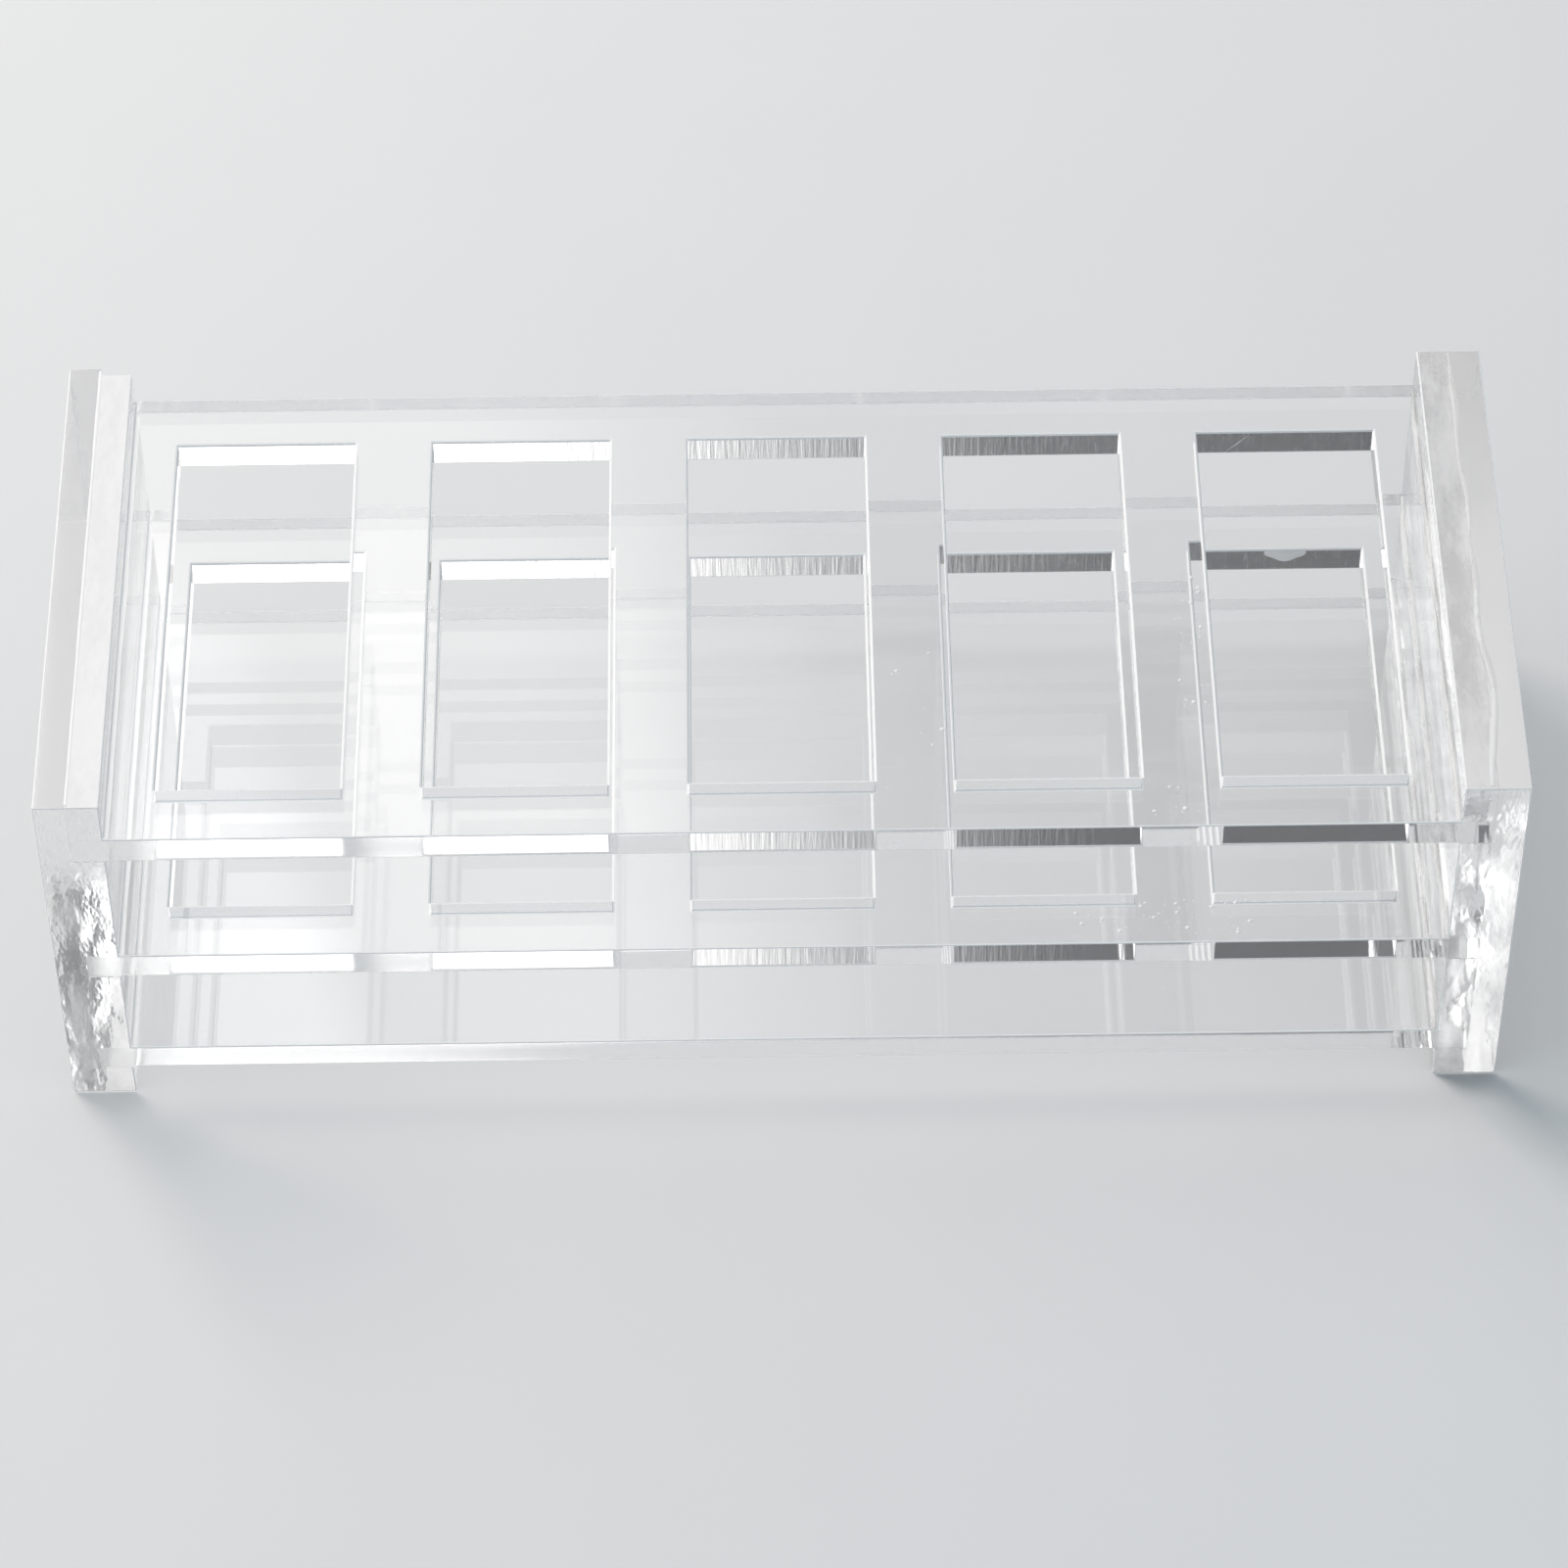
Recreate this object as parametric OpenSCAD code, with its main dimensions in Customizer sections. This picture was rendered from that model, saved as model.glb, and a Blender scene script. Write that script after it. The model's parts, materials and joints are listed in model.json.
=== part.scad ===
// Two-tier rack for flat, slide-sized chips, made of cut acrylic sheet.
// Three shelves lie between two ends. Each end is two layers thick: a full
// outer panel, and an inner layer of strips with the shelves' ends between them.
// Units are millimetres. The origin is on the bench under the rack's centre,
// +X runs along the rack, the front faces -Y and +Z is up.

/* [Overall] */
// Length over the two end panels
rack_length = 224; // [220:1:300]
// Depth from the front edges to the back edges
rack_depth = 92; // [86:1:120]

/* [Sheet] */
// Thickness of the acrylic sheet that every piece is cut from
sheet = 5; // [3:0.5:6]

/* [Tiers] */
// Height of the feet that lift the base shelf off the bench
foot_height = 6; // [3:0.5:15]
// Clear height between the base shelf and the middle shelf
lower_gap = 17.5; // [10:0.5:40]
// Clear height between the middle shelf and the top shelf
upper_gap = 22.5; // [10:0.5:40]
// Height of the ends above the top shelf
rim_height = 7.5; // [2:0.5:20]

/* [Slots] */
// Number of slots in the top shelf and in the middle shelf
slot_count = 5; // [1:1:5]
// Width of a slot, along the rack
slot_width = 28; // [20:0.5:30]
// Length of a slot, from front to back
slot_length = 72; // [40:1:76]
// Distance from one slot's centre to the next
slot_pitch = 40.4; // [34:0.2:42]

/* [Hidden] */

// Which end a piece belongs to, as the sign of its X
left = -1;
right = 1;

// Heights of each shelf's underside
base_z = foot_height;
middle_z = base_z + sheet + lower_gap;
top_z = middle_z + sheet + upper_gap;
rim_z = top_z + sheet;
rack_height = rim_z + rim_height;

// The shelves stop at the inner faces of the outer panels
shelf_length = rack_length - 2 * sheet;

// How far a slot's cutter runs past the sheet, above and below
cut_past = 1;

// A clear sheet lying flat, with its underside at height z
module flat_sheet(z) {
    translate([-shelf_length / 2, -rack_depth / 2, z])
        cube([shelf_length, rack_depth, sheet]);
}

// The row of slots, cut through the shelf whose underside is at height z
module slot_row(z) {
    row_length = (slot_count - 1) * slot_pitch;
    for (i = [0 : slot_count - 1])
        translate([
            i * slot_pitch - row_length / 2 - slot_width / 2,
            -slot_length / 2,
            z - cut_past
        ])
            cube([slot_width, slot_length, sheet + 2 * cut_past]);
}

// A shelf with its row of slots
module slotted_shelf(z) {
    difference() {
        flat_sheet(z);
        slot_row(z);
    }
}

// An upright sheet at one end: layer 0 is the outer panel, layer 1 the strips
module end_sheet(side, layer, z, height) {
    centre_x = side * (rack_length / 2 - (layer + 0.5) * sheet);
    translate([centre_x - sheet / 2, -rack_depth / 2, z])
        cube([sheet, rack_depth, height]);
}

// Full-height outer panel
module end_panel(side) {
    end_sheet(side, 0, 0, rack_height);
}

// Strip under the base shelf, which stands on the bench beside the panel
module foot_strip(side) {
    end_sheet(side, 1, 0, foot_height);
}

// Strip that holds the middle shelf above the base shelf
module lower_spacer(side) {
    end_sheet(side, 1, base_z + sheet, lower_gap);
}

// Strip that holds the top shelf above the middle shelf
module upper_spacer(side) {
    end_sheet(side, 1, middle_z + sheet, upper_gap);
}

// Strip on the top shelf, flush with the top of the panel
module rim_strip(side) {
    end_sheet(side, 1, rim_z, rim_height);
}

module left_end_panel() {
    color("aliceblue", 0.35) end_panel(left);
}

module right_end_panel() {
    color("aliceblue", 0.35) end_panel(right);
}

module base_shelf() {
    color("azure", 0.3) flat_sheet(base_z);
}

module middle_shelf() {
    color("azure", 0.3) slotted_shelf(middle_z);
}

module top_shelf() {
    color("azure", 0.3) slotted_shelf(top_z);
}

module left_foot_strip() {
    color("mistyrose", 0.4) foot_strip(left);
}

module right_foot_strip() {
    color("mistyrose", 0.4) foot_strip(right);
}

module left_lower_spacer() {
    color("mistyrose", 0.4) lower_spacer(left);
}

module right_lower_spacer() {
    color("mistyrose", 0.4) lower_spacer(right);
}

module left_upper_spacer() {
    color("mistyrose", 0.4) upper_spacer(left);
}

module right_upper_spacer() {
    color("mistyrose", 0.4) upper_spacer(right);
}

module left_rim_strip() {
    color("mistyrose", 0.4) rim_strip(left);
}

module right_rim_strip() {
    color("mistyrose", 0.4) rim_strip(right);
}

left_end_panel();
right_end_panel();
base_shelf();
middle_shelf();
top_shelf();
left_foot_strip();
right_foot_strip();
left_lower_spacer();
right_lower_spacer();
left_upper_spacer();
right_upper_spacer();
left_rim_strip();
right_rim_strip();
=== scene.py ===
"""Clear acrylic chip rack on a pale bench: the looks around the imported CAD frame."""

import json
import math
import random

import bmesh
import bpy
from mathutils import Matrix, Vector, noise as shape_noise


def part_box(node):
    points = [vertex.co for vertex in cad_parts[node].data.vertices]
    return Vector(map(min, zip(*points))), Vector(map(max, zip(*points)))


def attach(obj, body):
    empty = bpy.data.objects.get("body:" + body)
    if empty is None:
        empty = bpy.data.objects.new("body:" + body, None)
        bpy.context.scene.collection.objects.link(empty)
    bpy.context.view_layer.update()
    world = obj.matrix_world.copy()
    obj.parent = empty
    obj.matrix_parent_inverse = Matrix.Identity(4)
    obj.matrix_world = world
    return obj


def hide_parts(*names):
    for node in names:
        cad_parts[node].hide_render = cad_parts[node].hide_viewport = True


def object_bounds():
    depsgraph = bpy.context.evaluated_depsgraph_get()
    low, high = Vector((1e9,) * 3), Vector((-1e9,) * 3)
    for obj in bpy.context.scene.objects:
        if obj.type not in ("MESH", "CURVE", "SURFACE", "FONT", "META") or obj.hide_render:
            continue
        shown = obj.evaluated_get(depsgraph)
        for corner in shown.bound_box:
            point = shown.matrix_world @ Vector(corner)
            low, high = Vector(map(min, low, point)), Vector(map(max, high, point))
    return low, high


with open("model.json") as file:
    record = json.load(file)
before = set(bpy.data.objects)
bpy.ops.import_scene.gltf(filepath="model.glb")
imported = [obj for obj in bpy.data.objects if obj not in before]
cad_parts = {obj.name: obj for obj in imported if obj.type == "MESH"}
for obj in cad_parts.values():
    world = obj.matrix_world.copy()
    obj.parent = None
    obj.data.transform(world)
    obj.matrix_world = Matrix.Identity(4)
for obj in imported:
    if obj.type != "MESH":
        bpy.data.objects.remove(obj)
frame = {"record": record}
CAD_LOW, CAD_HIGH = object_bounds()

MM = 0.001

# Kinds of surface, in the order of each piece's material slots
POLISHED, FRONT_EDGE, BACK_EDGE, SAWN_EDGE, SLOT_WALL, SLOT_BACK, JOINT, BEVEL = range(8)

# Thickness of the solvent-cement film left between two pieces
CEMENT_FILM = 0.02 * MM
# Width of the small bevel that takes the sharpness off an edge: a cut edge, a slot's edge,
# and the edges along the back
EDGE_BEVEL = 0.22 * MM
SLOT_BEVEL = 0.38 * MM
BACK_BEVEL = 0.1 * MM

# How strongly the sheet bends light. The cut edges bend it a little more than acrylic does,
# so that the rails' front edges show the bench behind the rack, as in the photo.
FACE_IOR = 1.49
EDGE_IOR = 1.57
# How far each shelf's front edge is sawn out of square
LEAN = {"base_shelf": 0.25 * MM, "middle_shelf": 0.2 * MM, "top_shelf": 0.12 * MM}
# How far the left rim strip stops before the back
LEFT_RIM_SHORT = 1.5 * MM


# ---------------------------------------------------------------- node helpers


def new_node(tree, kind, **settings):
    """A node of the given kind, with its properties set."""
    node = tree.nodes.new(kind)
    for key, value in settings.items():
        setattr(node, key, value)
    return node


def feed(tree, socket, value):
    """Links value to the socket if it is a socket, or sets it if it is a number or colour."""
    if isinstance(value, bpy.types.NodeSocket):
        tree.links.new(value, socket)
    else:
        socket.default_value = value


def calc(tree, operation, a, b=0.0):
    """The output of a Math node."""
    node = new_node(tree, "ShaderNodeMath", operation=operation)
    for socket, value in zip(node.inputs, (a, b)):
        feed(tree, socket, value)
    return node.outputs[0]


def product(tree, *factors):
    """The product of several values."""
    result = factors[0]
    for factor in factors[1:]:
        result = calc(tree, "MULTIPLY", result, factor)
    return result


def ramp(tree, value, low, high, out_low=0.0, out_high=1.0):
    """A smooth step of value from out_low at low to out_high at high."""
    node = new_node(tree, "ShaderNodeMapRange", interpolation_type="SMOOTHSTEP")
    for socket, number in zip(node.inputs, (value, low, high, out_low, out_high)):
        feed(tree, socket, number)
    return node.outputs[0]


def noise(tree, coords, scale, detail=2.0, roughness=0.5, stretch=(1.0, 1.0, 1.0)):
    """A noise value from 0 to 1. stretch makes the pattern longer along an axis."""
    mapping = new_node(tree, "ShaderNodeMapping")
    mapping.inputs["Scale"].default_value = [1.0 / s for s in stretch]
    tree.links.new(coords, mapping.inputs["Vector"])
    texture = new_node(tree, "ShaderNodeTexNoise")
    texture.inputs["Scale"].default_value = scale
    texture.inputs["Detail"].default_value = detail
    texture.inputs["Roughness"].default_value = roughness
    tree.links.new(mapping.outputs[0], texture.inputs["Vector"])
    return texture.outputs["Fac"]


def bump(tree, height, distance, before=None):
    """A Bump node's normal, for a height map whose full range is distance metres."""
    node = new_node(tree, "ShaderNodeBump")
    node.inputs["Strength"].default_value = 1.0
    node.inputs["Distance"].default_value = distance
    tree.links.new(height, node.inputs["Height"])
    if before is not None:
        tree.links.new(before, node.inputs["Normal"])
    return node.outputs[0]


def mix_colour(tree, share, a, b):
    """A mix of two colours."""
    node = new_node(tree, "ShaderNodeMix", data_type="RGBA")
    feed(tree, node.inputs["Factor"], share)
    feed(tree, node.inputs["A"], a)
    feed(tree, node.inputs["B"], b)
    return node.outputs["Result"]


# ---------------------------------------------------------------- materials


def empty_material(name):
    """A material with only an output node, and its object coordinates."""
    material = bpy.data.materials.new(name)
    material.use_nodes = True
    tree = material.node_tree
    tree.nodes.clear()
    output = new_node(tree, "ShaderNodeOutputMaterial")
    coords = new_node(tree, "ShaderNodeTexCoord").outputs["Object"]
    return material, tree, output, coords


def side_of_rack(tree, coords, left, right, change=(-10 * MM, 10 * MM)):
    """A value that is one thing at the left end and another at the right end. change is
    where it starts and stops changing, along X."""
    split = new_node(tree, "ShaderNodeSeparateXYZ")
    tree.links.new(coords, split.inputs[0])
    return ramp(tree, split.outputs[0], *change, left, right)


def let_light_through(tree, coords, shader, share):
    """Lets lamps shine through clear acrylic. share is how much of their light passes each
    surface, at the left end and at the right end."""
    path = new_node(tree, "ShaderNodeLightPath")
    passed = side_of_rack(tree, coords, *share)
    tint = new_node(tree, "ShaderNodeCombineColor")
    for channel in tint.inputs:
        tree.links.new(passed, channel)
    clear = new_node(tree, "ShaderNodeBsdfTransparent")
    tree.links.new(tint.outputs[0], clear.inputs["Color"])
    lamp_ray = calc(
        tree, "MAXIMUM", path.outputs["Is Shadow Ray"], path.outputs["Is Diffuse Ray"]
    )
    mix = new_node(tree, "ShaderNodeMixShader")
    tree.links.new(lamp_ray, mix.inputs["Fac"])
    tree.links.new(shader, mix.inputs[1])
    tree.links.new(clear.outputs[0], mix.inputs[2])
    return mix.outputs[0]


def made(look, tree, coords):
    """A look's value: the number itself, or what its function makes."""
    return look(tree, coords) if callable(look) else look


def acrylic(name, tint, roughness, clearness, normal=None, share=(1.0, 1.0), ior=EDGE_IOR):
    """Clear acrylic. clearness is 1 less the share of its surface that is ground white.
    roughness and clearness are numbers or functions of the tree and the coordinates."""
    material, tree, output, coords = empty_material(name)
    shader = new_node(tree, "ShaderNodeBsdfPrincipled")
    shader.inputs["Base Color"].default_value = tint
    shader.inputs["IOR"].default_value = ior
    feed(tree, shader.inputs["Roughness"], made(roughness, tree, coords))
    feed(tree, shader.inputs["Transmission Weight"], made(clearness, tree, coords))
    if normal is not None:
        tree.links.new(normal(tree, coords), shader.inputs["Normal"])
    tree.links.new(
        let_light_through(tree, coords, shader.outputs[0], share), output.inputs["Surface"]
    )
    return material


CLEAR_TINT = (1.0, 1.0, 1.0, 1.0)
FROSTED_TINT = (0.95, 0.937, 0.937, 1.0)

# Clearness of a surface that isn't ground at all, of the edges along the back, and of a bevel
UNGROUND = 1.0
BACK_CLEARNESS = 0.85
BEVEL_CLEARNESS = 0.08
# Roughness of a bevel, and of a slot's walls
BEVEL_ROUGHNESS = 0.3
WALL_ROUGHNESS = 0.02
# Depth of the ripple on a slot's side walls and front wall, and on its back wall
WALL_RIPPLE = 0.016 * MM
BACK_WALL_RIPPLE = 0.024 * MM


def face_roughness(tree, coords):
    """The sheets' faces: polished, and a little duller in patches."""
    patches = noise(tree, coords, scale=60.0, detail=4.0)
    return ramp(tree, patches, 0.55, 0.75, out_low=0.0, out_high=0.03)


def back_edge_roughness(tree, coords):
    """The edges along the back: evenly dull."""
    patches = noise(tree, coords, scale=90.0, detail=2.0)
    return ramp(tree, patches, 0.3, 0.7, out_low=0.08, out_high=0.12)


def wall_normal(tree, coords, depth):
    """The ripple of a slot's wall, which runs down it."""
    ripple = noise(tree, coords, scale=1600.0, detail=3.0, stretch=(1, 1, 20))
    return bump(tree, ripple, depth)


def saw_mark_clearness(tree, coords):
    """Fine white saw marks that run down a slot's back wall."""
    marks = noise(tree, coords, scale=2200.0, detail=4.0, roughness=0.8, stretch=(1, 1, 8))
    return ramp(tree, marks, 0.5, 0.68, out_low=1.0, out_high=0.8)


def make_materials(part, shares, face_normal, front_look, top_look):
    """The materials of the kinds of surface, in the order of the kinds. shares are how much
    light passes a face, a front edge and a back edge, and a look is a roughness, a
    clearness and a normal."""
    face_share, edge_share, back_share = shares
    front_rough, front_clearness, front_normal = front_look
    top_rough, top_clearness, top_normal = top_look
    polished = acrylic(
        part + "_polished",
        CLEAR_TINT,
        roughness=face_roughness,
        clearness=UNGROUND,
        normal=face_normal,
        share=face_share,
        ior=FACE_IOR,
    )
    front = acrylic(
        part + "_front_edge",
        CLEAR_TINT,
        roughness=front_rough,
        clearness=front_clearness,
        normal=front_normal,
        share=edge_share,
    )
    back = acrylic(
        part + "_back_edge",
        CLEAR_TINT,
        roughness=back_edge_roughness,
        clearness=BACK_CLEARNESS,
        share=back_share,
    )
    sawn = acrylic(
        part + "_sawn_edge",
        FROSTED_TINT,
        roughness=top_rough,
        clearness=top_clearness,
        normal=top_normal,
        share=face_share,
    )
    wall = acrylic(
        part + "_slot_wall",
        CLEAR_TINT,
        roughness=WALL_ROUGHNESS,
        clearness=UNGROUND,
        normal=lambda tree, coords: wall_normal(tree, coords, WALL_RIPPLE),
        share=face_share,
    )
    marked_wall = acrylic(
        part + "_slot_back_wall",
        CLEAR_TINT,
        roughness=WALL_ROUGHNESS,
        clearness=saw_mark_clearness,
        normal=lambda tree, coords: wall_normal(tree, coords, BACK_WALL_RIPPLE),
        share=face_share,
    )
    bevel = acrylic(
        part + "_bevel",
        CLEAR_TINT,
        roughness=BEVEL_ROUGHNESS,
        clearness=BEVEL_CLEARNESS,
        share=face_share,
    )
    return [polished, front, back, sawn, wall, marked_wall, make_joint_material(part), bevel]


def flat_sheet_normal(tree, coords):
    """The faint waviness of a cast sheet."""
    return bump(tree, noise(tree, coords, scale=30.0, detail=1.0), 0.012 * MM)


def planed_normal(tree, coords):
    """Fine lines from front to back, as on a narrow strip that was planed along."""
    lines = noise(tree, coords, scale=650.0, detail=3.0, stretch=(1, 80, 1))
    return bump(tree, lines, 0.012 * MM, before=flat_sheet_normal(tree, coords))


def long_edge_roughness(tree, coords):
    """The shelves' front edges: duller towards the left end."""
    return side_of_rack(tree, coords, 0.25, 0.05, change=(-70 * MM, -15 * MM))


def smooth_edge_normal(tree, coords):
    """The faint waviness of a smoothed edge."""
    return bump(tree, noise(tree, coords, scale=60.0, detail=2.0), 0.02 * MM)


def sawn_top_normal(tree, coords):
    """The faint waviness of an edge that was sawn from front to back."""
    waves = noise(tree, coords, scale=120.0, detail=1.0, stretch=(1, 4, 1))
    return bump(tree, waves, 0.004 * MM)


def end_front_normal(tree, coords):
    """The small dents of the ends' front edges, which were only scraped flat."""
    dents = noise(tree, coords, scale=250.0, detail=3.0, stretch=(1, 1, 2))
    return bump(tree, dents, 0.4 * MM)


def end_front_roughness(tree, coords):
    """The front edges of the ends: milky, with clearer patches."""
    patches = noise(tree, coords, scale=130.0, detail=3.0, stretch=(1, 1, 3))
    return ramp(tree, patches, 0.4, 0.6, out_low=0.13, out_high=0.25)


def panel_top_clearness(tree, coords):
    """The outer panels' upper edges: clear at the left end, and milky at the right end,
    more so towards the front."""
    split = new_node(tree, "ShaderNodeSeparateXYZ")
    tree.links.new(coords, split.inputs[0])
    right = ramp(tree, split.outputs[1], 0.0, 45 * MM, out_low=0.44, out_high=0.76)
    return side_of_rack(tree, coords, UNGROUND, right)


def strip_top_clearness(tree, coords):
    """The strips' upper edges: ground white at the left end, patchy at the right."""
    patches = noise(tree, coords, scale=160.0, detail=4.0, roughness=0.6, stretch=(1, 3, 1))
    patchy = ramp(tree, patches, 0.35, 0.65, out_low=0.45, out_high=0.8)
    return product(tree, patchy, side_of_rack(tree, coords, 0.45, 1.0))


def cement_clearness(tree, coords):
    """Set cement: whiter at the left end."""
    patches = noise(tree, coords, scale=80.0, detail=2.0)
    patchy = ramp(tree, patches, 0.4, 0.6, out_low=0.6, out_high=0.9)
    return product(tree, patchy, side_of_rack(tree, coords, 0.4, 1.0))


def chipped_normal(tree, coords):
    """The grain of chipped acrylic."""
    return bump(tree, noise(tree, coords, scale=900.0, detail=2.0), 0.02 * MM)


def make_cement_material():
    """Set cement: clear and a little milky."""
    return acrylic(
        "set_cement",
        CLEAR_TINT,
        roughness=0.15,
        clearness=cement_clearness,
        share=(0.95, 0.9),
    )


def make_chipped_material():
    """The white of chipped acrylic and of dried drops of cement."""
    return acrylic(
        "chipped_acrylic",
        FROSTED_TINT,
        roughness=0.3,
        clearness=0.12,
        normal=chipped_normal,
    )


# How much less of a cemented face is dry at the left end, and the noise values between which
# a face goes from wetted to dry
LEFT_WETTING = 0.13
DRY_FROM, DRY_TO = 0.51, 0.55


def make_joint_material(part):
    """A cemented face: invisible where the cement has wetted it, glass where it hasn't."""
    material, tree, output, coords = empty_material(part + "_joint")
    shader = new_node(tree, "ShaderNodeBsdfPrincipled")
    shader.inputs["Base Color"].default_value = CLEAR_TINT
    shader.inputs["IOR"].default_value = FACE_IOR
    shader.inputs["Transmission Weight"].default_value = 1.0
    shader.inputs["Roughness"].default_value = 0.0
    dry = noise(tree, coords, scale=60.0, detail=3.0, stretch=(1.0, 2.5, 1.0))
    wetting = side_of_rack(tree, coords, LEFT_WETTING, 0.0)
    dry = calc(tree, "SUBTRACT", dry, wetting)
    feed(tree, shader.inputs["Alpha"], ramp(tree, dry, DRY_FROM, DRY_TO))
    tree.links.new(
        let_light_through(tree, coords, shader.outputs[0], (1.0, 1.0)), output.inputs["Surface"]
    )
    return material


# ---------------------------------------------------------------- sheet pieces


# The six ways out of a grid cell, each with its corners turning outwards
SIDES = {
    (-1, 0, 0): ((0, 0, 0), (0, 0, 1), (0, 1, 1), (0, 1, 0)),
    (1, 0, 0): ((1, 0, 0), (1, 1, 0), (1, 1, 1), (1, 0, 1)),
    (0, -1, 0): ((0, 0, 0), (1, 0, 0), (1, 0, 1), (0, 0, 1)),
    (0, 1, 0): ((0, 1, 0), (0, 1, 1), (1, 1, 1), (1, 1, 0)),
    (0, 0, -1): ((0, 0, 0), (0, 1, 0), (1, 1, 0), (1, 0, 0)),
    (0, 0, 1): ((0, 0, 1), (1, 0, 1), (1, 1, 1), (0, 1, 1)),
}


def grid_piece(name, cuts, is_solid, kind_of, materials, lean=0.0):
    """A closed mesh of the solid cells of a grid. cuts holds the grid's planes along
    X, Y and Z, and kind_of names the surface of a face by its normal and its centre.
    lean is how far the foot of the front edge stands back from its top."""
    bm = bmesh.new()
    corners = {}

    def corner(index):
        if index not in corners:
            corners[index] = bm.verts.new([cuts[a][index[a]] for a in range(3)])
        return corners[index]

    counts = [len(c) - 1 for c in cuts]
    cells = [
        (i, j, k)
        for i in range(counts[0])
        for j in range(counts[1])
        for k in range(counts[2])
        if is_solid(i, j, k)
    ]
    solid = set(cells)
    for cell in cells:
        for normal, steps in SIDES.items():
            if tuple(cell[a] + normal[a] for a in range(3)) in solid:
                continue
            face = bm.faces.new(
                [corner(tuple(cell[a] + s[a] for a in range(3))) for s in steps]
            )
            face.material_index = kind_of(normal, face.calc_center_median())
    for (i, j, k), vert in corners.items():
        if j == 0 and k == 0:
            vert.co.y += lean
    bm.normal_update()
    for width in (SLOT_BEVEL, EDGE_BEVEL, BACK_BEVEL):
        sharp = [e for e in bm.edges if takes_bevel(e) and bevel_width(e) == width]
        bmesh.ops.bevel(
            bm,
            geom=sharp,
            offset=width,
            segments=2,
            profile=0.5,
            affect="EDGES",
            clamp_overlap=True,
            material=BEVEL,
        )
    mesh = bpy.data.meshes.new(name)
    bm.to_mesh(mesh)
    bm.free()
    piece = bpy.data.objects.new(name, mesh)
    bpy.context.scene.collection.objects.link(piece)
    for material in materials:
        mesh.materials.append(material)
    return piece


# The least angle between two faces whose shared edge is bevelled
BEVEL_ANGLE = math.radians(60)


def takes_bevel(edge):
    """True for an outward corner between two faces that aren't cemented."""
    if len(edge.link_faces) != 2:
        return False
    if any(f.material_index == JOINT for f in edge.link_faces):
        return False
    return edge.calc_face_angle_signed(0.0) > BEVEL_ANGLE


def bevel_width(edge):
    """The width of an edge's bevel: wide round a slot, and narrow along the back."""
    kinds = {f.material_index for f in edge.link_faces}
    if kinds & {SLOT_WALL, SLOT_BACK}:
        return SLOT_BEVEL
    return BACK_BEVEL if BACK_EDGE in kinds else EDGE_BEVEL


def edge_kind(normal):
    """The kind of a piece's outer cut edge, by the way it faces."""
    if normal[1] < 0:
        return FRONT_EDGE
    if normal[1] > 0:
        return BACK_EDGE
    return SAWN_EDGE


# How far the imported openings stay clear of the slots' walls
SLOT_CLEAR = 0.5 * MM


def slot_boxes():
    """The low and high corners of the top shelf's slots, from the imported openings."""
    openings = frame["record"]["physics"]["openings"]
    return [o["box_m"] for o in openings if o["name"].startswith("top_slot")]


def make_shelf(node, end_x, slot_x, slot_y, materials):
    """A shelf: a flat sheet with its row of slots, cemented near both ends."""
    low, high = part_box(node)
    xs = [low.x + CEMENT_FILM, -end_x, *slot_x, end_x, high.x - CEMENT_FILM]
    ys = [low.y, *slot_y, high.y]
    slot_cells = {2 + 2 * n for n in range(len(slot_x) // 2)}

    def is_solid(i, j, k):
        return not (slot_y and j == 1 and i in slot_cells)

    def kind_of(normal, centre):
        if normal[2]:
            return JOINT if abs(centre.x) > end_x else POLISHED
        if low.y < centre.y < high.y:
            if abs(centre.x) > end_x:
                return JOINT
            return SLOT_BACK if normal[1] < 0 else SLOT_WALL
        return edge_kind(normal)

    cuts = (xs, ys, [low.z, high.z])
    return grid_piece(node + "_sheet", cuts, is_solid, kind_of, materials, LEAN[node])


def make_upright(node, joint_sides, materials, short=0.0):
    """An upright sheet at one end. joint_sides are the normals of its cemented faces, and
    short is how far it stops before the back."""
    low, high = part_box(node)
    cuts = []
    for axis in range(3):
        unit = [int(a == axis) for a in range(3)]
        low_inset = CEMENT_FILM if tuple(-u for u in unit) in joint_sides else 0.0
        high_inset = CEMENT_FILM if tuple(unit) in joint_sides else 0.0
        cuts.append([low[axis] + low_inset, high[axis] - high_inset])
    cuts[1][1] -= short

    def kind_of(normal, centre):
        if normal in joint_sides:
            return JOINT
        return POLISHED if normal[0] else edge_kind(normal)

    return grid_piece(node + "_sheet", cuts, lambda i, j, k: True, kind_of, materials)


def add_piece(piece, node):
    """Puts a piece on the rack in place of its CAD node."""
    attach(piece, "root")
    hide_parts(node)


# How much lamp light passes a face, a front edge and a back edge, each at the left end and at
# the right end. The front edges of the ends are the darkest, which gives the rack the shadows
# that it has in the photo.
SHELF_SHARES = ((0.996, 0.996), (0.85, 0.8), (0.85, 0.8))
PANEL_SHARES = ((0.93, 0.69), (0.5, 0.05), (0.93, 0.69))
STRIP_SHARES = ((0.93, 0.74), (0.5, 0.05), (0.93, 0.74))

# The looks of the cut edges: a roughness, a clearness and a normal
SHELF_CUT = (long_edge_roughness, 0.91, smooth_edge_normal)
END_CUT = (end_front_roughness, 0.94, end_front_normal)
PANEL_TOP = (0.15, panel_top_clearness, sawn_top_normal)
STRIP_TOP = (0.25, strip_top_clearness, sawn_top_normal)


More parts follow.
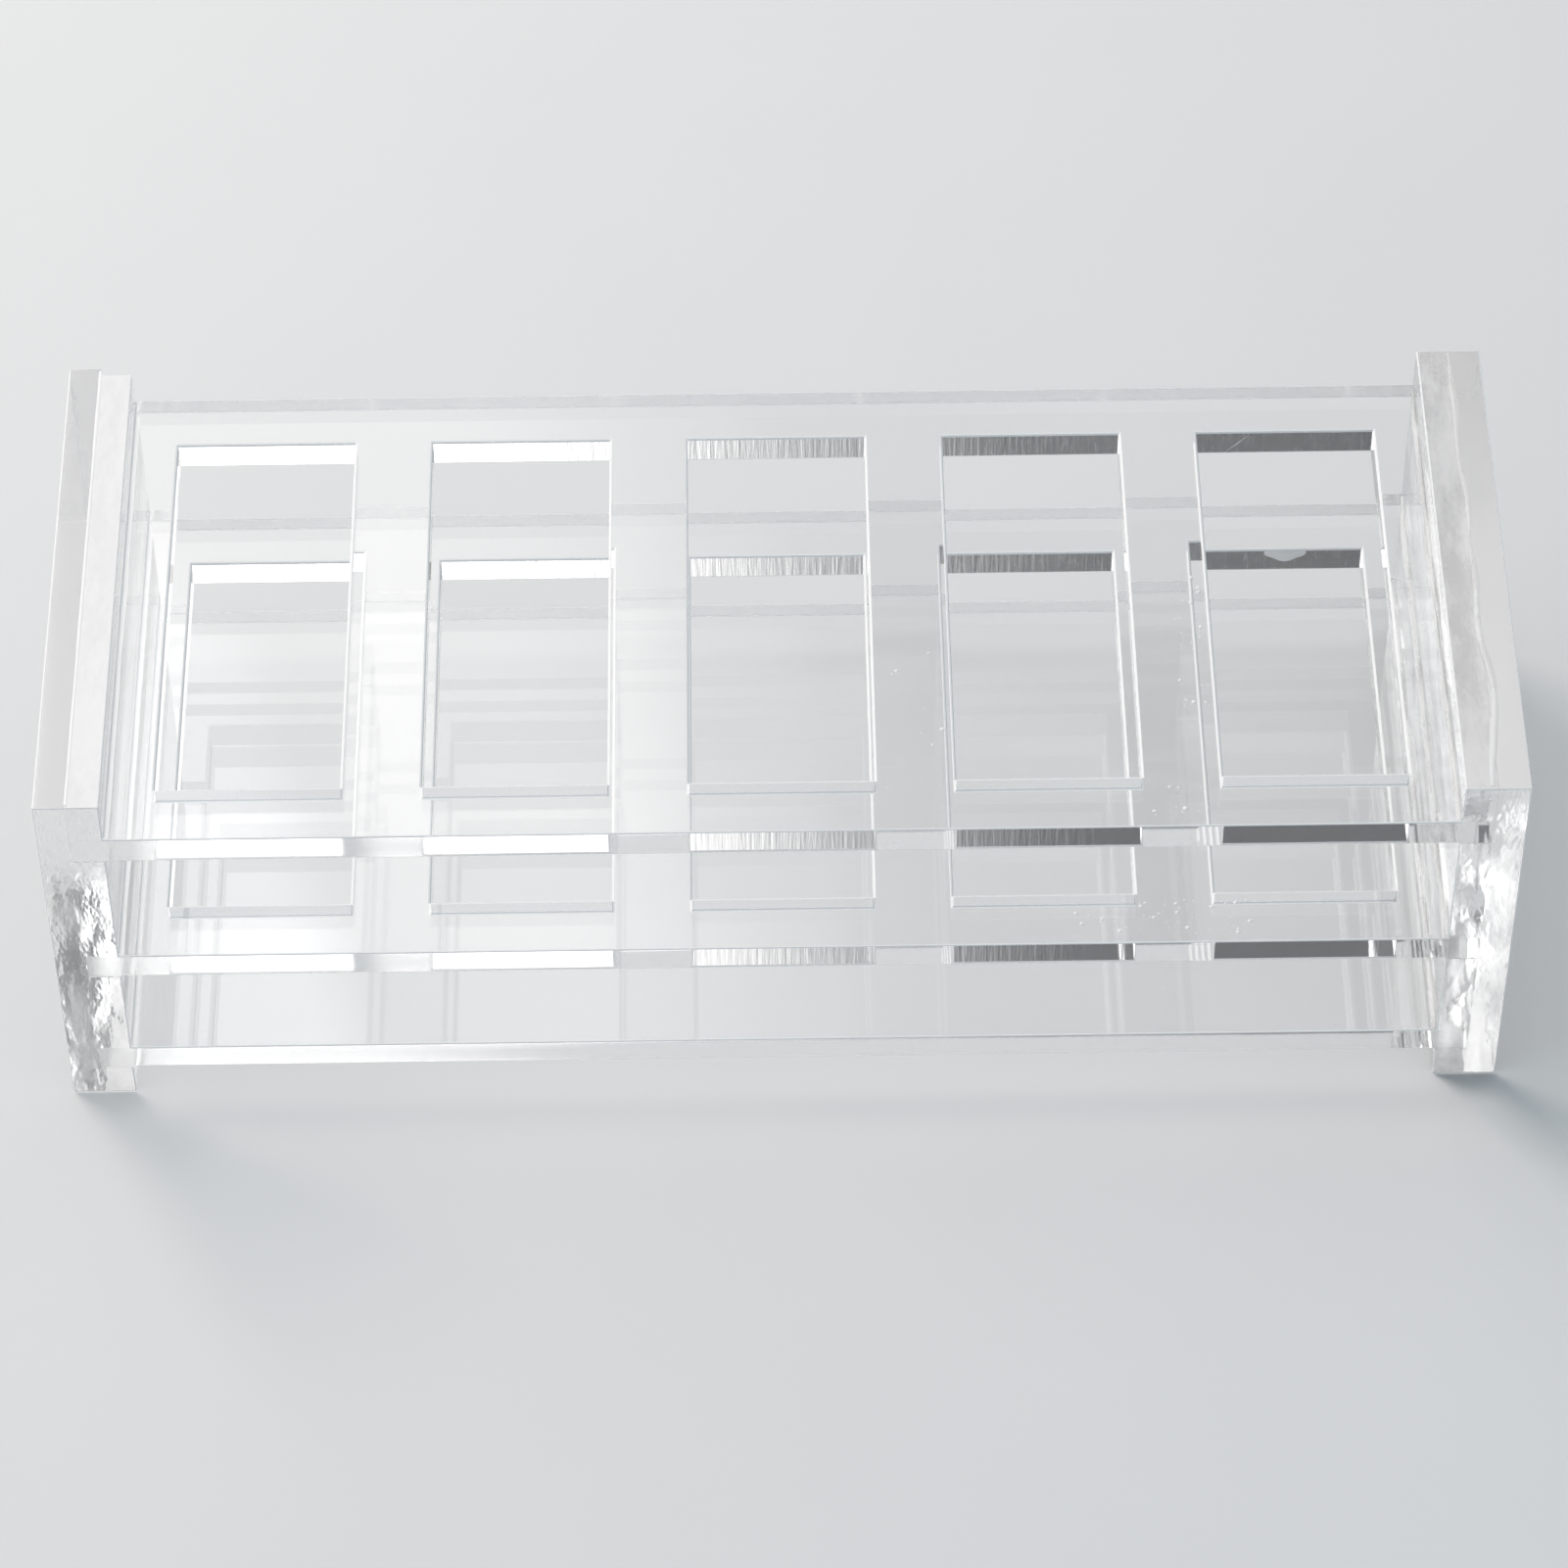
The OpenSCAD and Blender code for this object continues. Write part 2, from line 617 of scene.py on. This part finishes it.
def make_rack():
    """All thirteen sheets of the rack."""
    strip_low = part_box("right_rim_strip")[0]
    shelf_look = make_materials("shelf", SHELF_SHARES, flat_sheet_normal, SHELF_CUT, SHELF_CUT)
    panel_look = make_materials("panel", PANEL_SHARES, flat_sheet_normal, END_CUT, PANEL_TOP)
    strip_look = make_materials("strip", STRIP_SHARES, planed_normal, END_CUT, STRIP_TOP)
    spans = slot_boxes()
    slot_x = [x for low, high in spans for x in (low[0] - SLOT_CLEAR, high[0] + SLOT_CLEAR)]
    slot_y = [spans[0][0][1] - SLOT_CLEAR, spans[0][1][1] + SLOT_CLEAR]
    for node in ("top_shelf", "middle_shelf"):
        add_piece(make_shelf(node, strip_low.x, slot_x, slot_y, shelf_look), node)
    base = make_shelf("base_shelf", strip_low.x, [], [], shelf_look)
    add_piece(base, "base_shelf")
    for side, sign in (("left", -1), ("right", 1)):
        outward, inward = (sign, 0, 0), (-sign, 0, 0)
        panel = side + "_end_panel"
        add_piece(make_upright(panel, {inward}, panel_look), panel)
        below, above = (0, 0, -1), (0, 0, 1)
        strips = {
            "_foot_strip": {outward, above},
            "_lower_spacer": {outward, above, below},
            "_upper_spacer": {outward, above, below},
            "_rim_strip": {outward, below},
        }
        for suffix, joints in strips.items():
            strip = side + suffix
            short = LEFT_RIM_SHORT if strip == "left_rim_strip" else 0.0
            add_piece(make_upright(strip, joints, strip_look, short), strip)


# ---------------------------------------------------------------- traces of the making


# Outlines of a line of cement in widths of the line: one that fills an inner corner, and one
# that lies flat on a seam
CORNER_BEAD = ((0.0, 0.0), (1.0, 0.0), (0.42, 0.12), (0.12, 0.42), (0.0, 1.0))
FLAT_BEAD = ((-1.0, 0.0), (1.0, 0.0), (0.6, 0.22), (0.0, 0.3), (-0.6, 0.22))


def new_piece(name, bm, material):
    """A piece from a finished bmesh."""
    bmesh.ops.recalc_face_normals(bm, faces=bm.faces)
    mesh = bpy.data.meshes.new(name)
    bm.to_mesh(mesh)
    bm.free()
    mesh.materials.append(material)
    piece = bpy.data.objects.new(name, mesh)
    bpy.context.scene.collection.objects.link(piece)
    return piece


def add_trace(name, bm, material):
    """Adds a small piece that no CAD node stands for."""
    piece = new_piece(name, bm, material)
    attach(piece, "root")


# Distance between the outlines along a line of cement, and the lengths over which its width
# swells, its width ripples and the line wanders
BEAD_STEP = 0.8 * MM
SWELL_LENGTH = 14 * MM
RIPPLE_LENGTH = 5 * MM
DRIFT_LENGTH = 18 * MM
# How strong the ripples are beside the swells, and the least width of a line as a share of its
# full width
RIPPLE_SHARE = 0.15
LEAST_WIDTH = 0.25


def bead(bm, outline, place, turn, width, wobble, seed, y_span, drift=0.0):
    """A line of cement from front to back. place is its X and Z, turn the signs of its
    outline's X and Z, wobble how much its width changes along it, and drift how far it
    wanders along X."""
    count = int((y_span[1] - y_span[0]) / BEAD_STEP)
    rings = []
    for n in range(count + 1):
        y = y_span[0] + (y_span[1] - y_span[0]) * n / count
        swell = shape_noise.noise(Vector((y / SWELL_LENGTH, seed, 0.0)))
        swell += RIPPLE_SHARE * shape_noise.noise(Vector((y / RIPPLE_LENGTH, seed, 5.0)))
        size = width * max(LEAST_WIDTH, 1.0 + wobble * swell)
        x = place[0] + drift * shape_noise.noise(Vector((y / DRIFT_LENGTH, seed, 9.0)))
        ring = [
            bm.verts.new((x + turn[0] * u * size, y, place[1] + turn[1] * v * size))
            for u, v in outline
        ]
        rings.append(ring)
    sides = len(outline)
    for near, far in zip(rings, rings[1:]):
        for n in range(sides):
            m = (n + 1) % sides
            bm.faces.new((near[n], near[m], far[m], far[n]))
    bm.faces.new(rings[0])
    bm.faces.new(rings[-1])


# Each end's name, the sign of its X, and how much the width of its lines of cement changes
CEMENTED_ENDS = (("left", -1, 0.5), ("right", 1, 1.1))
# Width of the lines of cement in the corners, and the width and drift of the line on each seam
CORNER_WIDTH = 0.4 * MM
LEFT_SEAM = (0.25 * MM, 0.0)
RIGHT_SEAM = (0.5 * MM, 1.6 * MM)
SEAM_SEED = 40
# How far the lines stop before the front and the back
CEMENT_STOP = 0.6 * MM


def make_cement_lines(material):
    """Lines of set cement: along the inner corners of the ends, and on the top seams."""
    panel_low, panel_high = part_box("right_end_panel")
    strip_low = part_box("right_rim_strip")[0]
    y_span = (panel_low.y + CEMENT_STOP, panel_high.y - CEMENT_STOP)
    shelves = [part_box(node) for node in ("base_shelf", "middle_shelf", "top_shelf")]
    for side, sign, wobble in CEMENTED_ENDS:
        bm = bmesh.new()
        for n, (low, high) in enumerate(shelves):
            for z, up in ((high.z, 1), (low.z, -1)):
                place = (sign * strip_low.x, z)
                seed = n * 7 + up
                bead(bm, CORNER_BEAD, place, (-sign, up), CORNER_WIDTH, wobble, seed, y_span)
        add_trace(side + "_cement_corners", bm, material)
        bm = bmesh.new()
        place = (sign * panel_low.x, panel_high.z)
        width, drift = LEFT_SEAM if sign < 0 else RIGHT_SEAM
        seed = SEAM_SEED + sign
        bead(bm, FLAT_BEAD, place, (1, 1), width, wobble, seed, y_span, drift)
        add_trace(side + "_cement_seam", bm, material)


# Number of a drop's sides, and how far out and up the ring between its foot and its top is
DROP_SIDES = 9
DROP_BROW = 0.7


def dome(bm, centre, radius, height):
    """A low round drop that lies on a level face."""
    foot = []
    brow = []
    for n in range(DROP_SIDES):
        angle = 2 * math.pi * n / DROP_SIDES
        side = Vector((math.cos(angle), math.sin(angle), 0.0))
        rise = Vector((0, 0, height * DROP_BROW))
        foot.append(bm.verts.new(centre + side * radius))
        brow.append(bm.verts.new(centre + side * radius * DROP_BROW + rise))
    top = bm.verts.new(centre + Vector((0, 0, height)))
    for n in range(DROP_SIDES):
        m = (n + 1) % DROP_SIDES
        bm.faces.new((foot[n], foot[m], brow[m], brow[n]))
        bm.faces.new((brow[n], brow[m], top))
    bm.faces.new(foot)


# Splashes of cement: node, count, and their X and Y spans in millimetres
SPLASHES = (
    ("top_shelf", 26, (61.0, 65.5), (-24.0, 8.0)),
    ("top_shelf", 12, (55.5, 66.0), (-44.0, -38.0)),
    ("middle_shelf", 34, (55.0, 72.0), (-45.0, -37.5)),
    ("middle_shelf", 10, (44.0, 54.0), (-44.0, -37.5)),
    ("top_shelf", 8, (14.5, 25.5), (-40.0, -10.0)),
)
SPLASH_SEED = 4
# Radius of the smallest drop, how much wider the widest is, and a drop's height in radii
DROP_RADIUS = 0.13 * MM
DROP_SPREAD = 0.3 * MM
DROP_HEIGHT = 0.45


def make_splashes(material):
    """Tiny drops of cement that fell on the shelves, most of them between the fourth slot
    and the fifth."""
    dice = random.Random(SPLASH_SEED)
    for n, (node, count, x_span, y_span) in enumerate(SPLASHES):
        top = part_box(node)[1].z
        bm = bmesh.new()
        for _ in range(count):
            x = dice.uniform(*x_span) * MM
            y = dice.uniform(*y_span) * MM
            radius = DROP_RADIUS + DROP_SPREAD * dice.random() ** 2
            dome(bm, Vector((x, y, top)), radius, DROP_HEIGHT * radius)
        add_trace("splashes_%d" % n, bm, material)


# The half-moon chip in the middle shelf: its X, how far it is below the shelf's top, half its
# width, how far down it reaches, how far its middle bulges and is below its top, and the number
# of points round it
CHIP_X = 82.5 * MM
CHIP_BELOW = 0.3 * MM
CHIP_HALF_WIDTH = 3.3 * MM
CHIP_DEPTH = 2.4 * MM
CHIP_BULGE = 0.22 * MM
CHIP_MIDDLE = 0.6 * MM
CHIP_POINTS = 13
# How far the chip's outline waves in and out, as a share of its size, and how fast
CHIP_WAVE = 0.08
CHIP_WAVES = 5
# How far the marks stay in front of the wall, so that no two faces share a plane
CHIP_GAP = 0.01 * MM
SCRATCH_GAP = 0.02 * MM
# The scratch in the top shelf: X and height of its ends, half its width, and how far its middle
# and then its ridge stand out
SCRATCH_START = (71.5 * MM, 0.4 * MM)
SCRATCH_END = (75.4 * MM, 4.5 * MM)
SCRATCH_ACROSS = Vector((-0.06, 0.0, 0.06)) * MM
SCRATCH_BULGE = Vector((0.0, -0.04 * MM, 0.0))


def make_wall_marks(material):
    """A half-moon chip and a scratch on the back walls of the fifth slots."""
    wall = max(s[1][1] for s in slot_boxes()) + SLOT_CLEAR
    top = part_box("middle_shelf")[1].z - CHIP_BELOW
    bm = bmesh.new()
    centre = bm.verts.new((CHIP_X, wall - CHIP_BULGE, top - CHIP_MIDDLE))
    rim = []
    for n in range(CHIP_POINTS):
        angle = math.pi * n / (CHIP_POINTS - 1)
        wave = 1.0 + CHIP_WAVE * math.sin(CHIP_WAVES * angle)
        x = CHIP_X + CHIP_HALF_WIDTH * wave * math.cos(angle)
        z = top - CHIP_DEPTH * wave * math.sin(angle)
        rim.append(bm.verts.new((x, wall - CHIP_GAP, z)))
    for n in range(CHIP_POINTS):
        bm.faces.new((centre, rim[n], rim[(n + 1) % CHIP_POINTS]))
    bm.faces.new(rim)
    add_trace("slot_wall_chip", bm, material)
    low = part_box("top_shelf")[0].z
    bm = bmesh.new()
    start, end = (
        Vector((x, wall - SCRATCH_GAP, low + z)) for x, z in (SCRATCH_START, SCRATCH_END)
    )
    middle = (start + end) / 2 + SCRATCH_BULGE
    outline = (start, middle + SCRATCH_ACROSS, end, middle - SCRATCH_ACROSS)
    corners = [bm.verts.new(p) for p in outline]
    ridge = bm.verts.new(middle + SCRATCH_BULGE)
    for n in range(4):
        bm.faces.new((corners[n], corners[(n + 1) % 4], ridge))
    bm.faces.new(corners)
    add_trace("slot_wall_scratch", bm, material)


def make_traces():
    """The marks that cutting and cementing left on the rack."""
    make_cement_lines(make_cement_material())
    chipped = make_chipped_material()
    make_splashes(chipped)
    make_wall_marks(chipped)


# ---------------------------------------------------------------- stage


# Half the width of the bench top in metres, how far it is under the feet, and the two colours
# that it is speckled with
FLOOR_HALF = 3.0
FLOOR_DROP = 0.05 * MM
BENCH_DARKER = (0.79, 0.795, 0.80, 1.0)
BENCH_LIGHTER = (0.81, 0.815, 0.82, 1.0)


def make_floor():
    """A plain pale bench top, just under the feet."""
    mesh = bpy.data.meshes.new("floor")
    half = FLOOR_HALF
    z = CAD_LOW.z - FLOOR_DROP
    mesh.from_pydata(
        [(-half, -half, z), (half, -half, z), (half, half, z), (-half, half, z)],
        [],
        [(0, 1, 2, 3)],
    )
    floor = bpy.data.objects.new("floor", mesh)
    bpy.context.scene.collection.objects.link(floor)
    material, tree, output, coords = empty_material("pale_bench")
    shader = new_node(tree, "ShaderNodeBsdfPrincipled")
    shader.inputs["Roughness"].default_value = 0.6
    shader.inputs["Specular IOR Level"].default_value = 0.2
    speckle = noise(tree, coords, scale=25.0, detail=5.0)
    colour = mix_colour(tree, speckle, BENCH_DARKER, BENCH_LIGHTER)
    tree.links.new(colour, shader.inputs["Base Color"])
    tree.links.new(shader.outputs[0], output.inputs["Surface"])
    mesh.materials.append(material)


# All directions are in degrees, as seen from the rack. Azimuth 0 is straight behind it and
# grows to the right, and elevation 0 is level.

# The right edge of the big soft box: its azimuth at the given elevation, how far it moves right
# with each degree of elevation, and half its blur
BOX_RIGHT = 0.9
BOX_RIGHT_ELEVATION = 49.0
BOX_RIGHT_SLANT = 0.3
BOX_RIGHT_BLUR = 0.5
# Azimuths over which the box fades in on its left, and elevations over which it fades in at its
# foot and out at its top
BOX_LEFT = (-50, -35)
BOX_FOOT = (35, 43)
BOX_TOP = (62, 75)
# The same for the dark part of the room, which begins at the box's right edge
DARK_RIGHT = (20, 40)
DARK_FOOT = (25, 40)
DARK_TOP = (60, 75)
# The box's core: where it fades out, counted from the box's right edge, and the elevations over
# which it fades in
CORE_RIGHT = (-8.3, -6.9)
CORE_FOOT = (46.3, 48.3)
# Counted from the box's right edge: where the box dims towards its rim, where the room gets
# darker, and where the mirrored room gets brighter
RIM_FADE = (-4.5, 0.3)
DARKENING = (0.0, 4.2)
MIRRORED_RISE = (1.0, 5.5)
# Elevations over which the rest of the room gets brighter
ROOM_RISE = (0.0, 40.0)

# Brightness of the soft box: its core, its middle and its rim
SOFTBOX_CORE = (3.1, 3.1, 3.1, 1.0)
SOFTBOX = (1.93, 1.90, 1.88, 1.0)
SOFTBOX_RIM = (0.75, 0.75, 0.75, 1.0)
# The dark part of the room: beside the box, and further right
DARK_ROOM = (0.48, 0.48, 0.49, 1.0)
DARKEST_ROOM = (0.047, 0.048, 0.052, 1.0)
# What the sheets' faces mirror instead of the dark part: beside the box, and further right
MIRRORED_DIM = (0.38, 0.40, 0.42, 1.0)
MIRRORED_ROOM = (0.88, 0.91, 0.93, 1.0)
# The rest of the room: high up, and level with the rack
ROOM = (0.55, 0.58, 0.60, 1.0)
LOW_ROOM = (0.26, 0.28, 0.30, 1.0)
# The cool light that fills the shadows on the bench
AMBIENT = (0.34, 0.40, 0.44, 1.0)


def make_world():
    """The studio around the rack: a soft box behind on the left, and a dark room behind on
    the right, which clear acrylic shows by refraction."""
    world = bpy.data.worlds.new("studio")
    bpy.context.scene.world = world
    world.use_nodes = True
    tree = world.node_tree
    tree.nodes.clear()
    output = new_node(tree, "ShaderNodeOutputWorld")
    direction = new_node(tree, "ShaderNodeTexCoord").outputs["Generated"]
    split = new_node(tree, "ShaderNodeSeparateXYZ")
    tree.links.new(direction, split.inputs[0])
    x, y, z = split.outputs
    degrees = 180 / math.pi
    azimuth = calc(tree, "MULTIPLY", calc(tree, "ARCTAN2", x, y), degrees)
    elevation = calc(tree, "MULTIPLY", calc(tree, "ARCSINE", z), degrees)

    above = calc(tree, "SUBTRACT", elevation, BOX_RIGHT_ELEVATION)
    drift = calc(tree, "MULTIPLY", above, BOX_RIGHT_SLANT)
    past_right = calc(tree, "SUBTRACT", calc(tree, "SUBTRACT", azimuth, BOX_RIGHT), drift)
    right = ramp(tree, past_right, -BOX_RIGHT_BLUR, BOX_RIGHT_BLUR)
    in_box = product(
        tree,
        calc(tree, "SUBTRACT", 1.0, right),
        ramp(tree, azimuth, *BOX_LEFT),
        ramp(tree, elevation, *BOX_FOOT),
        ramp(tree, elevation, *BOX_TOP, 1.0, 0.0),
    )
    in_dark = product(
        tree,
        right,
        ramp(tree, azimuth, *DARK_RIGHT, 1.0, 0.0),
        ramp(tree, elevation, *DARK_FOOT),
        ramp(tree, elevation, *DARK_TOP, 1.0, 0.0),
    )
    in_core = product(
        tree,
        ramp(tree, past_right, *CORE_RIGHT, 1.0, 0.0),
        ramp(tree, elevation, *CORE_FOOT),
    )

    box = mix_colour(tree, ramp(tree, past_right, *RIM_FADE), SOFTBOX, SOFTBOX_RIM)
    box = mix_colour(tree, in_core, box, SOFTBOX_CORE)
    dark = mix_colour(tree, ramp(tree, past_right, *DARKENING), DARK_ROOM, DARKEST_ROOM)
    mirrored = mix_colour(
        tree, ramp(tree, past_right, *MIRRORED_RISE), MIRRORED_DIM, MIRRORED_ROOM
    )
    path = new_node(tree, "ShaderNodeLightPath")
    dark = mix_colour(tree, path.outputs["Is Reflection Ray"], dark, mirrored)
    room = mix_colour(tree, ramp(tree, elevation, *ROOM_RISE), LOW_ROOM, ROOM)
    room = mix_colour(tree, in_dark, room, dark)
    studio = mix_colour(tree, in_box, room, box)
    seen = mix_colour(tree, path.outputs["Is Diffuse Ray"], studio, AMBIENT)
    background = new_node(tree, "ShaderNodeBackground")
    tree.links.new(seen, background.inputs["Color"])
    tree.links.new(background.outputs[0], output.inputs["Surface"])


# Each lamp's name, place, width in metres, power in watts and colour
LAMPS = (
    ("softbox_key", (-0.80, 0.70, 1.1), 0.65, 14.4, (1.0, 0.90, 0.83)),
    ("left_fill", (-1.0, -0.35, 0.8), 0.9, 2.0, (1.0, 0.95, 0.92)),
)


def add_lamp(name, place, width, power, colour):
    """A square lamp that faces the rack. Only the world is seen in the acrylic."""
    lamp = bpy.data.lights.new(name, "AREA")
    lamp.shape = "SQUARE"
    lamp.size = width
    lamp.energy = power
    lamp.color = colour
    holder = bpy.data.objects.new(name, lamp)
    holder.location = place
    holder.rotation_euler = (-Vector(place)).to_track_quat("-Z", "Y").to_euler()
    holder.visible_glossy = False
    holder.visible_transmission = False
    bpy.context.scene.collection.objects.link(holder)


def make_lamps():
    """The soft box behind on the left, as a lamp, and a weak wide one at the left."""
    for lamp in LAMPS:
        add_lamp(*lamp)


# The camera: where it looks, from how far, its elevation, heading and roll in degrees, and its
# lens in millimetres
VIEW_AIM = Vector((0.5, -13.5, 34.25)) * MM
VIEW_DISTANCE = 966.4 * MM
VIEW_ELEVATION = 49.18
VIEW_HEADING = 0.44
VIEW_ROLL = -0.44
VIEW_LENS = 141.5
SENSOR_WIDTH = 36.0
# The nearest and the farthest that the camera sees, in metres
CLIP_START = 0.05
CLIP_END = 50.0


def make_camera():
    """A long lens that looks down on the front of the rack."""
    elevation, heading, roll = map(math.radians, (VIEW_ELEVATION, VIEW_HEADING, VIEW_ROLL))
    forward = Vector(
        (
            math.sin(heading) * math.cos(elevation),
            math.cos(heading) * math.cos(elevation),
            -math.sin(elevation),
        )
    )
    level = Vector((math.cos(heading), -math.sin(heading), 0.0))
    upward = level.cross(forward)
    right = level * math.cos(roll) + upward * math.sin(roll)
    up = right.cross(forward)
    data = bpy.data.cameras.new("view")
    data.lens = VIEW_LENS
    data.sensor_width = SENSOR_WIDTH
    data.clip_start = CLIP_START
    data.clip_end = CLIP_END
    camera = bpy.data.objects.new("view", data)
    turn = Matrix((right, up, -forward)).transposed()
    camera.matrix_world = Matrix.Translation(VIEW_AIM - forward * VIEW_DISTANCE) @ turn.to_4x4()
    bpy.context.scene.collection.objects.link(camera)
    bpy.context.scene.camera = camera


# How often light may pass or meet surfaces: all in all, mirrored, scattered, and straight
# through on its way from a lamp
PATH_BOUNCES = 40
MIRROR_BOUNCES = 24
SCATTER_BOUNCES = 3
LAMP_LAYERS = 64


def set_look():
    """Light paths long enough for many clear layers, and a plain tone curve."""
    scene = bpy.context.scene
    scene.view_settings.view_transform = "Standard"
    scene.cycles.max_bounces = PATH_BOUNCES
    scene.cycles.transmission_bounces = PATH_BOUNCES
    scene.cycles.glossy_bounces = MIRROR_BOUNCES
    scene.cycles.diffuse_bounces = SCATTER_BOUNCES
    scene.cycles.transparent_max_bounces = LAMP_LAYERS
    scene.cycles.caustics_reflective = False
    scene.cycles.caustics_refractive = False
    scene.cycles.use_denoising = True


make_camera()
make_rack()
make_traces()
make_floor()
make_world()
make_lamps()
set_look()
